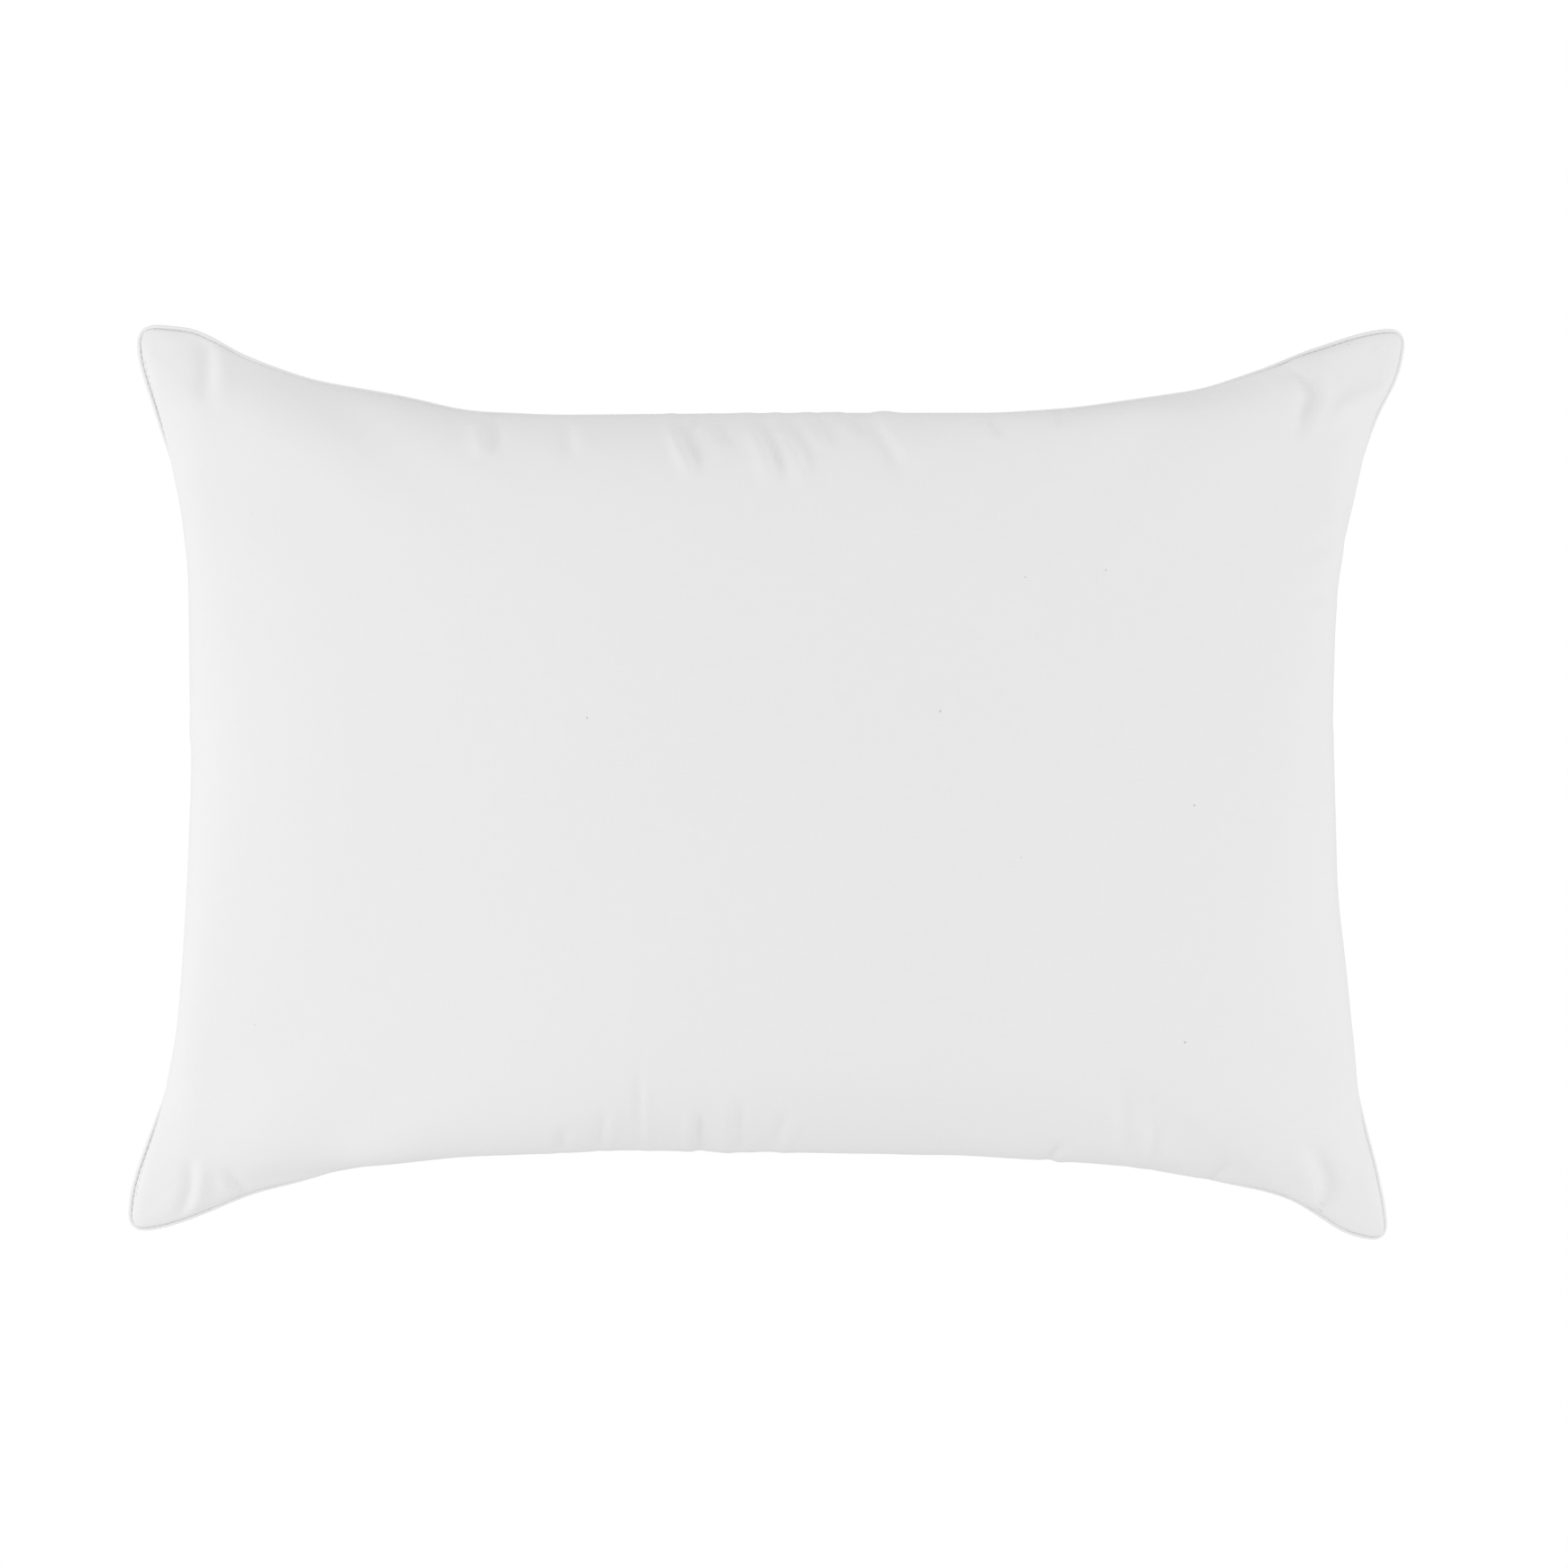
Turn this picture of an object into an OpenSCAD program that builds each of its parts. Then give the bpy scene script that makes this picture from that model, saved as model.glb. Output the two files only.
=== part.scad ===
// A piped bed pillow: two panels of ticking sewn round a corded edge and stuffed.
// The pillow lies on its back panel. The origin is on the floor under its middle,
// X runs along the length, Y across the width and Z up.

/* [Pillow] */
// Length from tip to tip of the corners, over the piping
pillow_length = 680; // [500:5:900]
// Width from tip to tip of the corners, over the piping
pillow_width = 487; // [360:1:620]
// Thickness at the middle, lying down
loft = 192; // [150:1:240]
// How far the middle of a long side is drawn in from its corners
long_side_dip = 46; // [15:1:60]
// How far the middle of a short side is drawn in from its corners
short_side_dip = 32; // [10:1:45]
// Height of the seam above the floor at the middle of a side
seam_height = 95; // [75:1:115]
// How much lower the seam hangs at the corner tips
corner_drop = 14; // [0:1:30]
// How deep the underside would bulge below the floor if it weren't pressed flat
underside_press = 22; // [12:1:40]
// Height over which the underside turns up from the floor
floor_easing = 7; // [3:0.5:12]
// Distance from a corner tip at which the seam line starts to round
corner_round = 16; // [8:1:30]

/* [Ticking] */
// Thickness of the ticking
ticking_thickness = 0.5; // [0.3:0.05:0.8]
// Width of the seam allowance turned inside
seam_allowance = 10; // [7:0.5:16]

/* [Piping] */
// Diameter of the filler cord
cord_diameter = 2.2; // [1.5:0.1:4]
// Thickness of the bias strip round the cord
strip_thickness = 0.3; // [0.2:0.05:0.5]

/* [Stitching] */
// Thickness of the sewing thread
thread_diameter = 0.4; // [0.2:0.05:0.6]
// Distance of the hidden lockstitch from the seam line
lockstitch_inset = 4.5; // [4:0.25:6]
// Distance of the closing topstitch from the seam line
topstitch_inset = 3; // [2:0.25:6]
// Length of one topstitch
stitch_length = 3; // [2:0.25:4]
// Space between two topstitches
stitch_space = 1; // [0.5:0.25:2]
// Distance from a corner tip at which the topstitching stops
topstitch_margin = 22; // [18:1:40]
// Width of the overlock stitch on the raw edges
overlock_width = 4; // [3:0.5:5]
// Thickness of the layer of overlock thread
overlock_thickness = 0.3; // [0.2:0.05:0.5]

/* [Care label] */
// Width of the label along the seam
label_width = 28; // [15:1:40]
// Length that hangs out of the seam
label_drop = 42; // [20:1:60]
// Thickness of the folded label
label_thickness = 0.4; // [0.2:0.05:0.8]
// Distance of the label from the middle of the short side
label_offset = 70; // [0:1:110]

/* [Fit] */
// Gap between pieces that lie against each other
lie_gap = 0.05; // [0.03:0.01:0.1]
// Gap between the ticking and the filling
fill_gap = 0.2; // [0.1:0.05:0.5]
// Gap between a thread and the cloth it lies on
thread_gap = 0.3; // [0.25:0.05:0.5]

/* [Hidden] */

// How finely the soft solids are drawn
crown_rings = 10;
long_side_steps = 14;
short_side_steps = 10;
corner_steps = 4;
pipe_arc_steps = 6;
pipe_arc_end = 155;
cord_sides = 6;
side_power = 3;
wall_ease = 3.2;

// Piping section: the strip's flats just clear the corners of the cord
arc_step = 2 * pipe_arc_end / pipe_arc_steps;
pipe_inner = (cord_diameter / 2 + lie_gap) / cos(arc_step / 2);
pipe_outer = pipe_inner + strip_thickness;
pipe_centre = pipe_outer + lie_gap;
strip_slit = lie_gap / 2;
flange_half = strip_slit + strip_thickness;

// The overlock passes over the lockstitch where it reaches in that far
overlock_start = seam_allowance - overlock_width;
overlock_clear = lockstitch_inset + thread_diameter / 2 + thread_gap;
overlock_rise = overlock_start < overlock_clear ? thread_diameter + thread_gap : 0;

// Heights of the seam's layers above and below its middle plane
lip = flange_half + lie_gap;
stack_half = lip + ticking_thickness;
overlock_base = stack_half + thread_gap + overlock_rise;
overlock_half = overlock_base + overlock_thickness;
notch_half = max(overlock_half, stack_half + thread_diameter + thread_gap) + fill_gap;
overlock_end = seam_allowance + thread_gap + overlock_thickness;
notch_end = overlock_end + fill_gap;

// Crown of the front above the seam, and bulge of the back below it
crown_rise = loft - seam_height - lip;
underside_sink = seam_height + underside_press - lip;

// Half sizes of the seam line, so that the piping reaches the stated length and width
pipe_reach = pipe_centre + pipe_outer;
tip_half = [pillow_length / 2, pillow_width / 2];
rounded_tips = [for (uv = unit_outline(tip_half)) warp(uv, tip_half)];
lost_at_tip = [for (axis = [0, 1]) tip_half[axis] - max([for (p = rounded_tips) p[axis]])];
seam_half = [for (axis = [0, 1]) tip_half[axis] + lost_at_tip[axis] - pipe_reach];

// The seam line, as points of a rounded unit square and as points on the pillow
outline = unit_outline(seam_half);
count = len(outline);
three_sides = long_side_steps * 2 + short_side_steps + corner_steps * 2;

// Positions run closer together towards the corners
function spread(t) = 0.65 * t + 0.35 * sin(90 * t);

// Ends of the straight stretches, in units of the half sizes
function straight_end(half) = [1 - corner_round / half[0], 1 - corner_round / half[1]];

// Anticlockwise from the left end of the lower long side
function unit_outline(half) =
    let (e = straight_end(half), r = [1 - e[0], 1 - e[1]], long = long_side_steps, short = short_side_steps)
    concat(
        [for (i = [0:long - 1]) [e[0] * spread(2 * i / long - 1), -1]],
        [for (i = [0:corner_steps - 1]) corner_point([1, -1], 90 * i / corner_steps - 90, e, r)],
        [for (i = [0:short - 1]) [1, e[1] * spread(2 * i / short - 1)]],
        [for (i = [0:corner_steps - 1]) corner_point([1, 1], 90 * i / corner_steps, e, r)],
        [for (i = [0:long - 1]) [-e[0] * spread(2 * i / long - 1), 1]],
        [for (i = [0:corner_steps - 1]) corner_point([-1, 1], 90 * i / corner_steps + 90, e, r)],
        [for (i = [0:short - 1]) [-1, -e[1] * spread(2 * i / short - 1)]],
        [for (i = [0:corner_steps - 1]) corner_point([-1, -1], 90 * i / corner_steps + 180, e, r)]
    );

function corner_point(way, angle, e, r) = [
    way[0] * e[0] + r[0] * cos(angle),
    way[1] * e[1] + r[1] * sin(angle)
];

// The square's sides bow inwards
function warp(uv, half) = [
    uv[0] * (half[0] - short_side_dip * (1 - pow(abs(uv[1]), side_power))),
    uv[1] * (half[1] - long_side_dip * (1 - pow(abs(uv[0]), side_power)))
];

// Height of the seam's middle plane
function seam_z(uv) = seam_height - corner_drop * pow(abs(uv[0] * uv[1]), side_power);

// 0 at the middle of a side and nearly 1 at a corner
function nearness(i) = abs(outline[i][0] * outline[i][1]);

// Fullness of the bag from 1 at its middle to 0 at the seam
function fullness(i, s) = sqrt((1 - s * s) * (1 - pow(s * nearness(i), 2)));

// The underside lies flat on the floor and eases away from it
function on_floor(z) =
    z > floor_easing ? z
    : z < -floor_easing ? 0
    : pow(z + floor_easing, 2) / (4 * floor_easing);

// A point of the unit square that is moved in from the seam line
function moved_in(i, inset) = [
    outline[i][0] * (1 - inset / seam_half[0]),
    outline[i][1] * (1 - inset / seam_half[1])
];

// A point in the seam, inwards of the seam line
function seam_point(i, inset, z) =
    let (uv = moved_in(i, inset), p = warp(uv, seam_half))
    [p[0], p[1], seam_z(uv) + z];

// A point beyond the seam line, square to it
function edge_xy(i) = warp(outline[(i + count) % count], seam_half);
function outward(i) = let (d = edge_xy(i + 1) - edge_xy(i - 1)) [d[1], -d[0]] / norm(d);
function edge_point(i, out, z) =
    let (p = edge_xy(i) + out * outward(i))
    [p[0], p[1], seam_z(outline[i]) + z];

// A layer lies at a depth inside the outer face, and meets the seam a little further in at the corners
function layer_uv(i, depth, s) = s * moved_in(i, depth * (1 + wall_ease * pow(nearness(i), 4)));

function front_point(i, depth, s) =
    let (uv = layer_uv(i, depth, s), p = warp(uv, seam_half))
    [p[0], p[1], seam_z(uv) + lip + depth + (crown_rise - 2 * depth) * fullness(i, s)];

function back_point(i, depth, s) =
    let (uv = layer_uv(i, depth, s), p = warp(uv, seam_half))
    let (free = seam_z(uv) - lip - 2 * depth - (underside_sink - 2 * depth) * fullness(i, s))
    [p[0], p[1], depth + on_floor(free)];

// Rings run from 0 in the middle to crown_rings at the seam, closer together towards it
function ring_size(j) = sin(90 * j / crown_rings);

// Whole rows of points, one point for each point of the outline
function front_row(depth, j) = [for (i = [0:count - 1]) front_point(i, depth, ring_size(j))];
function back_row(depth, j) = [for (i = [0:count - 1]) back_point(i, depth, ring_size(j))];
function seam_row(inset, z) = [for (i = [0:count - 1]) seam_point(i, inset, z)];
function edge_row(out, z) = [for (i = [0:count - 1]) edge_point(i, out, z)];
function pipe_row(r, angle) = edge_row(pipe_centre + r * cos(angle), r * sin(angle));

// Two rows of points are joined by triangles. Their diagonals always start at the row that is
// nearer the middle of the pillow, so layers that lie together have the same creases.
function row_faces(rows, row, next) = [
    for (i = [0:count - 1])
        let (k = (i + 1) % count, a = row * count, b = next * count)
        each spread_out(rows[next]) > spread_out(rows[row])
            ? [[a + i, b + i, b + k], [a + i, b + k, a + k]]
            : [[a + i, b + i, a + k], [b + i, b + k, a + k]]
];

function spread_out(row) = norm([row[0][0], row[0][1]]);

// A skin between two poles
module bag(rows, first_pole, last_pole) {
    points = concat([for (row = rows) each row], [first_pole, last_pole]);
    last_row = (len(rows) - 1) * count;
    first = len(points) - 2;
    last = len(points) - 1;
    faces = concat(
        [for (i = [0:count - 1]) [first, i, (i + 1) % count]],
        [for (row = [0:len(rows) - 2]) each row_faces(rows, row, row + 1)],
        [for (i = [0:count - 1]) [last, last_row + (i + 1) % count, last_row + i]]
    );
    polyhedron(points, faces);
}

// A section that runs all the way round the pillow
module hoop(rows) {
    points = [for (row = rows) each row];
    faces = concat(
        [for (row = [0:len(rows) - 2]) each row_faces(rows, row, row + 1)],
        row_faces(rows, len(rows) - 1, 0)
    );
    polyhedron(points, faces);
}

// A square thread along the seam, over three sides
module seam_strand(inset, middle_z) {
    r = thread_diameter / 2;
    corners = [[-r, -r], [-r, r], [r, r], [r, -r]];
    points = [for (i = [0:three_sides]) for (c = corners) seam_point(i, inset + c[0], middle_z + c[1])];
    end = three_sides * 4;
    sides = [
        for (i = [0:three_sides - 1]) for (c = [0:3])
            let (a = i * 4, d = (c + 1) % 4)
            each [[a + c, a + d, a + 4 + d], [a + c, a + 4 + d, a + 4 + c]]
    ];
    polyhedron(points, concat([[3, 2, 1, 0], [end, end + 1, end + 2, end + 3]], sides));
}

// One straight stitch from point p to point q
module stitch(p, q) {
    d = q - p;
    translate(p)
        rotate([0, acos(d[2] / norm(d)), atan2(d[1], d[0])])
            cylinder(h = norm(d), d = thread_diameter, $fn = 24);
}

// A point that lies on the outer face just above or below the closing seam.
// The face between two outline points is a pair of triangles, and the point is on one of them.
function topstitch_point(i, f, way) =
    let (
        seam_a = side_point(i, 0, way),
        seam_b = side_point(i + 1, 0, way),
        ring_a = side_point(i, 1, way),
        ring_b = side_point(i + 1, 1, way),
        up = topstitch_inset / norm(ring_a - seam_a),
        near_seam = f + up < 1,
        along = near_seam ? seam_b - seam_a : ring_b - ring_a,
        rise = near_seam ? ring_a - seam_a : ring_b - seam_b,
        on_face = near_seam ? seam_a + f * along + up * rise : seam_b - (1 - f) * along + up * rise,
        out = cross(rise, along) * -way / norm(cross(rise, along))
    )
    on_face + out * (thread_diameter / 2 + thread_gap);

function side_point(i, step, way) =
    let (s = ring_size(crown_rings - step))
    way > 0 ? front_point(i, 0, s) : back_point(i, 0, s);

module front_panel() {
    rows = concat(
        [for (j = [1:crown_rings]) front_row(0, j)],
        [seam_row(seam_allowance, lip), seam_row(seam_allowance, stack_half)],
        [for (j = [crown_rings:-1:1]) front_row(ticking_thickness, j)]
    );
    color("white")
        bag(rows, front_point(0, 0, 0), front_point(0, ticking_thickness, 0));
}

module back_panel() {
    rows = concat(
        [for (j = [1:crown_rings]) back_row(ticking_thickness, j)],
        [seam_row(seam_allowance, -stack_half), seam_row(seam_allowance, -lip)],
        [for (j = [crown_rings:-1:1]) back_row(0, j)]
    );
    color("white")
        bag(rows, back_point(0, ticking_thickness, 0), back_point(0, 0, 0));
}

// The strip goes round the cord and its two legs lie together in the seam
module piping_cover() {
    angles = [for (k = [0:pipe_arc_steps]) pipe_arc_end - k * arc_step];
    neck = pipe_centre - pipe_inner;
    rows = concat(
        [seam_row(seam_allowance, flange_half), edge_row(0, flange_half)],
        [for (a = angles) pipe_row(pipe_outer, a)],
        [edge_row(0, -flange_half), seam_row(seam_allowance, -flange_half)],
        [seam_row(seam_allowance, -strip_slit), edge_row(neck, -strip_slit)],
        [for (a = -angles) pipe_row(pipe_inner, a)],
        [edge_row(neck, strip_slit), seam_row(seam_allowance, strip_slit)]
    );
    color("whitesmoke")
        hoop(rows);
}

module piping_cord() {
    color("ivory")
        hoop([for (k = [0:cord_sides - 1]) pipe_row(cord_diameter / 2, -k * 360 / cord_sides)]);
}

// Needle thread on the front panel's allowance and bobbin thread on the back panel's
module seam_thread() {
    height = stack_half + thread_gap + thread_diameter / 2;
    color("white") {
        seam_strand(lockstitch_inset, height);
        seam_strand(lockstitch_inset, -height);
    }
}

// Topstitching on both faces of the closing side
module closing_thread() {
    first = three_sides + corner_steps;
    pitch = stitch_length + stitch_space;
    reach = seam_half[1] - topstitch_margin;
    color("white")
        for (way = [1, -1])
            for (i = [first:first + short_side_steps - 1]) {
                length = norm(edge_xy(i + 1) - edge_xy(i));
                stitches = floor(length / pitch);
                for (k = [0:stitches - 1]) {
                    start = (k + 0.5) / stitches - stitch_length / length / 2;
                    p = topstitch_point(i, start, way);
                    q = topstitch_point(i, start + stitch_length / length, way);
                    if (max(abs(p[1]), abs(q[1])) < reach) stitch(p, q);
                }
            }
}

// The overlock thread wraps the raw edges of all the layers
module overlock_thread() {
    wrap_in = seam_allowance + thread_gap;
    upper = [[overlock_start, overlock_half], [overlock_start, overlock_base], [wrap_in, overlock_base]];
    lower = [[wrap_in, -overlock_base], [overlock_start, -overlock_base], [overlock_start, -overlock_half]];
    round_the_edge = [[overlock_end, -overlock_half], [overlock_end, overlock_half]];
    color("white")
        hoop([for (c = concat(upper, lower, round_the_edge)) seam_row(c[0], c[1])]);
}

// The filling fills the bag and stops short of the seam, with a notch for the seam allowances
module filling() {
    depth = ticking_thickness + fill_gap;
    last_ring = crown_rings - 1;
    rows = concat(
        [for (j = [1:last_ring]) front_row(depth, j)],
        [seam_row(notch_end, notch_half), seam_row(notch_end, -notch_half)],
        [for (j = [last_ring:-1:1]) back_row(depth, j)]
    );
    color("snow")
        bag(rows, front_point(0, depth, 0), back_point(0, depth, 0));
}

// A blank folded label that hangs from the closing seam under the piping
module care_label() {
    v = -label_offset / seam_half[1];
    low_end = -(label_offset + label_width) / seam_half[1];
    p = warp([-1, v], seam_half);
    ahead = warp([-1, v + 0.01], seam_half) - p;
    top = seam_z([-1, low_end]) - pipe_outer - lie_gap;
    color("whitesmoke")
        translate([p[0], p[1], top - label_drop])
            rotate(atan2(ahead[1], ahead[0]) - 90)
                translate([-label_thickness - pipe_centre / 2, -label_width / 2, 0])
                    cube([label_thickness, label_width, label_drop]);
}

front_panel();
back_panel();
piping_cover();
piping_cord();
seam_thread();
closing_thread();
overlock_thread();
filling();
care_label();
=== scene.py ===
# A piped bed pillow in white cotton, lying flat and seen from straight above.
# Units are metres. The bag is cut flat, drawn in at the seam and blown up with cloth simulation,
# then it is pressed on the floor, creased, and trimmed with piping, stitching and a label.
import math

import bpy
import numpy as np
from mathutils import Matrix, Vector
from mathutils.bvhtree import BVHTree


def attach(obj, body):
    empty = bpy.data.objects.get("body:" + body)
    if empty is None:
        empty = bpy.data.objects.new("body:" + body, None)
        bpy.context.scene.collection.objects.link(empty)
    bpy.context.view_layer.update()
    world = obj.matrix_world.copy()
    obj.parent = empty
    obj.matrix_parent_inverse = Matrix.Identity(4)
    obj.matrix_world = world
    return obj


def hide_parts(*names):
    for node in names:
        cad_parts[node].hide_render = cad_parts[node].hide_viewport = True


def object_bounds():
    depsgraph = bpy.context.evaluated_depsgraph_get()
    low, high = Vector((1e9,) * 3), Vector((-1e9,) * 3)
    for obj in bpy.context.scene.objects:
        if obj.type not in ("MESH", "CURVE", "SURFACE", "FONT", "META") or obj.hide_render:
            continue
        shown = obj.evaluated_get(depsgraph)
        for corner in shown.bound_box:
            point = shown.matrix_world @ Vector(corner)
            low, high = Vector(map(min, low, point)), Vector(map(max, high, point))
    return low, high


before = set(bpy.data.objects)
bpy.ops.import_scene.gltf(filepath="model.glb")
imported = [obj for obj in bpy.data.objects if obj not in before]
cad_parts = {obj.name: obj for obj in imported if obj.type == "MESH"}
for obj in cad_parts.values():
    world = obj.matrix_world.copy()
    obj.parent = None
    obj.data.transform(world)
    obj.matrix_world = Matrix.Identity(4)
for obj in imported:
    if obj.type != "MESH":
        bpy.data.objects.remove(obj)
boxLow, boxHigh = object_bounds()
middle = [(boxLow[k] + boxHigh[k]) / 2 for k in range(3)]
halfLength = (boxHigh[0] - boxLow[0]) / 2
halfWidth = (boxHigh[1] - boxLow[1]) / 2
loft = boxHigh[2]
mm = 0.001
scene = bpy.context.scene
print("frame loaded, loft", round(loft, 4))

# Camera

view = {
    "height": 3.1,        # above the floor
    "span": 0.834,        # width of what it sees at the height of the seam
    "seamHeight": 0.095,
    "aside": 9.3 * mm,    # the pillow lies a little left of the middle
    "below": 1.2 * mm,
}


def setCamera():
    data = bpy.data.cameras.new("overhead")
    data.sensor_width = 36
    data.lens = data.sensor_width * (view["height"] - view["seamHeight"]) / view["span"]
    data.clip_end = 30
    camera = bpy.data.objects.new("overhead", data)
    camera.location = (middle[0] + view["aside"], middle[1] - view["below"], view["height"])
    scene.collection.objects.link(camera)
    scene.camera = camera


setCamera()

# The cut and its outline

cut = {
    "length": 0.700,      # between the seams, before stuffing
    "width": 0.500,
    "cell": 0.5 / 60,     # of the cloth that is simulated
}

# The corners of the stuffed pillow (top left and right, then bottom left and right) with their radii,
# and how far each side is drawn in between them, as (share of the way along, millimetres drawn in).
outline = {
    "corners": [(-335.5, 244), (340, 241.5), (-340.5, -239.5), (331, -244.5)],
    "rounding": [11, 9, 10, 9],
    "top": [(0, 0), (.04, 2), (.056, 4), (.07, 12), (.09, 18), (.105, 22), (.14, 30), (.21, 38),
            (.26, 46), (.33, 48), (.51, 46.5), (.68, 46), (.74, 43), (.84, 33), (.90, 19), (.91, 15),
            (.95, 6), (.965, 2.5), (.98, .5), (1, 0)],
    "bottom": [(0, 0), (.02, .5), (.035, 3), (.063, 10), (.10, 21), (.18, 34), (.27, 41), (.40, 45.5),
               (.52, 45), (.66, 44), (.79, 38.5), (.86, 31.5), (.91, 25), (.935, 18), (.943, 14),
               (.95, 9), (.975, 1), (1, 0)],
    "left": [(0, 0), (.035, 1), (.054, 2.5), (.094, 9), (.133, 16), (.153, 19), (.22, 25), (.29, 28),
             (.39, 30.5), (.50, 32), (.57, 31), (.725, 29), (.80, 24), (.86, 17), (.90, 10.5), (.94, 4),
             (.96, 1), (1, 0)],
    "right": [(0, 0), (.035, 1.5), (.084, 7), (.133, 14), (.20, 19), (.28, 24), (.38, 30.5), (.505, 33.5),
              (.575, 35), (.67, 34.5), (.73, 33), (.81, 25.5), (.87, 19.5), (.91, 12.5), (.94, 4),
              (.976, 0), (1, 0)],
}


def drawnIn(side, t):
    ends, depths = zip(*outline[side])
    fine = np.linspace(0, 1, 201)
    rough = np.interp(fine, ends, depths)
    soft = np.convolve(np.pad(rough, 3, "reflect", reflect_type="odd"), np.ones(7) / 7, "valid")
    return np.interp(t, fine, soft) * mm


# Points of one side of the outline, rounded towards its two corners
def sidePoints(side, t):
    first, last, inward = {
        "top": (0, 1, (0, -1)), "bottom": (2, 3, (0, 1)), "left": (2, 0, (1, 0)), "right": (3, 1, (-1, 0)),
    }[side]
    start, end = (np.array(outline["corners"][k]) * mm for k in (first, last))
    t = np.asarray(t, float)[:, None]
    length = np.linalg.norm(end - start)
    radius = np.where(t < 0.5, outline["rounding"][first], outline["rounding"][last]) * mm
    fromStart = np.clip(1 - t * length / radius, 0, 1)
    fromEnd = np.clip(1 - (1 - t) * length / radius, 0, 1)
    near = fromStart + fromEnd
    squeeze = 1 / np.hypot(near, 1)
    squeeze = 1 - (1 - squeeze) * (near > 0)
    slide = (fromStart - fromEnd) * (1 - squeeze) * radius
    points = start + (end - start) * (t + slide / length)
    return points + np.array(inward) * (drawnIn(side, t) + (1 - squeeze) * radius)


# The stuffed bag

bagShape = {
    "tuck": {"top": 0, "bottom": 5, "left": 5, "right": 5},   # seam inside the outline at mid side, mm
    "tuckStart": 0.76,    # share of the half side where that ends
    "tuckOver": 0.26,     # share of the half side over which it fades
    "seamLift": 14,       # how much higher the seam is at the middle of the top side, mm
    "cornerDrop": 12,
    "startGap": 4,        # half the gap between the flat panels, mm
    "startHeight": 30,    # the same once the seam is drawn in
    "unevenness": 0.2,    # of the flat cloth, mm
    "quickCrown": 100,    # half the height without simulation, mm
    "pressure": 6.0,
    "stiffness": 40.0,
    "bending": 0.5,
    "drawFrames": 25,     # frames over which the seam is drawn in
    "frames": 50,
}

piping = {
    "cord": 0.9 * mm,     # radius of the filler cord
    "strip": 0.3 * mm,    # thickness of the bias strip
    "radius": 1.25 * mm,
    "ripple": 0.05,       # how much the stitches pinch the cover
    "out": {"top": 0.75, "bottom": 0.1, "left": 1.0, "right": 0.3},   # from the seam to the cord, mm
    "lip": 0.95 * mm,     # height of each panel's fold over the seam
    "bulk": 0.7 * mm,     # what the turned allowance lifts the panels by
    "droop": {"top": 0.05, "bottom": 0.32, "left": 0, "right": 0.3},  # how far the cord hangs, mm
    "allowance": 10 * mm,
    "pitch": 3.5 * mm,    # length of a stitch
}


# The border of a grid as one loop, anticlockwise from the lower left corner
def loopOf(values):
    return np.concatenate([values[:-1, 0], values[-1, :-1], values[:0:-1, -1], values[0, :0:-1]])


def outwards(loop):
    step = np.roll(loop, -1, 0) - np.roll(loop, 1, 0)
    way = np.column_stack([step[:, 1], -step[:, 0], np.zeros(len(loop))])
    return way / np.linalg.norm(way, axis=1)[:, None]


# A value that is given for each side, blended round the corners by the way the seam faces
def perSide(values, out):
    x, y = out[:, :1], out[:, 1:2]
    ways = {"top": y, "bottom": -y, "left": -x, "right": x}
    return sum(np.clip(way, 0, 1) ** 2 * values[side] for side, way in ways.items()) * mm


def smoothStep(x):
    x = np.clip(x, 0, 1)
    return x * x * (3 - 2 * x)


def unitGrid(columns, rows):
    u, v = np.linspace(-1, 1, columns + 1), np.linspace(-1, 1, rows + 1)
    return np.stack(np.meshgrid(u, v, indexing="ij"), -1)


def gridFaces(ids):
    return np.stack([ids[:-1, :-1], ids[1:, :-1], ids[1:, 1:], ids[:-1, 1:]], -1).reshape(-1, 4).tolist()


# Fills a grid from its four sides
def spanned(top, bottom, left, right, fadeU, fadeV):
    low, high = (1 - fadeU) / 2, (1 + fadeU) / 2
    down, up = (1 - fadeV) / 2, (1 + fadeV) / 2
    sides = up * top[:, None] + down * bottom[:, None] + low * left[None] + high * right[None]
    corners = (low * up * top[0] + high * up * top[-1] + low * down * bottom[0] + high * down * bottom[-1])
    return sides - corners


# The four sides of the seam: bottom, right, top and left, as (x, y, z)
def seamSides(columns, rows):
    u, v = np.linspace(-1, 1, columns + 1), np.linspace(-1, 1, rows + 1)
    pieces = []
    for side, w in (("bottom", u[:-1]), ("right", v[:-1]), ("top", u[:0:-1]), ("left", v[:0:-1])):
        inside = smoothStep((bagShape["tuckStart"] - np.abs(w)) / bagShape["tuckOver"])
        under = bagShape["tuck"][side] * inside
        lift = bagShape["seamLift"] * (1 - w * w) if side == "top" else 0 * w
        z = lift - bagShape["cornerDrop"] * np.abs(w) ** 3
        pieces.append(np.column_stack([sidePoints(side, (w + 1) / 2), z * mm, under * mm]))
    loop = np.concatenate(pieces)
    place, under = loop[:, :3], loop[:, 3:]
    out = outwards(place)
    place = place - out * (under + perSide(piping["out"], out) + piping["radius"])
    a, b, c = columns, columns + rows, 2 * columns + rows
    return place[:a + 1], place[a:b + 1], place[b:c + 1][::-1], np.vstack([place[c:], place[:1]])[::-1]


def seamTarget(grid):
    bottom, right, top, left = seamSides(grid.shape[0] - 1, grid.shape[1] - 1)
    return spanned(top, bottom, left, right, grid[..., :1], grid[..., 1:])


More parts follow.
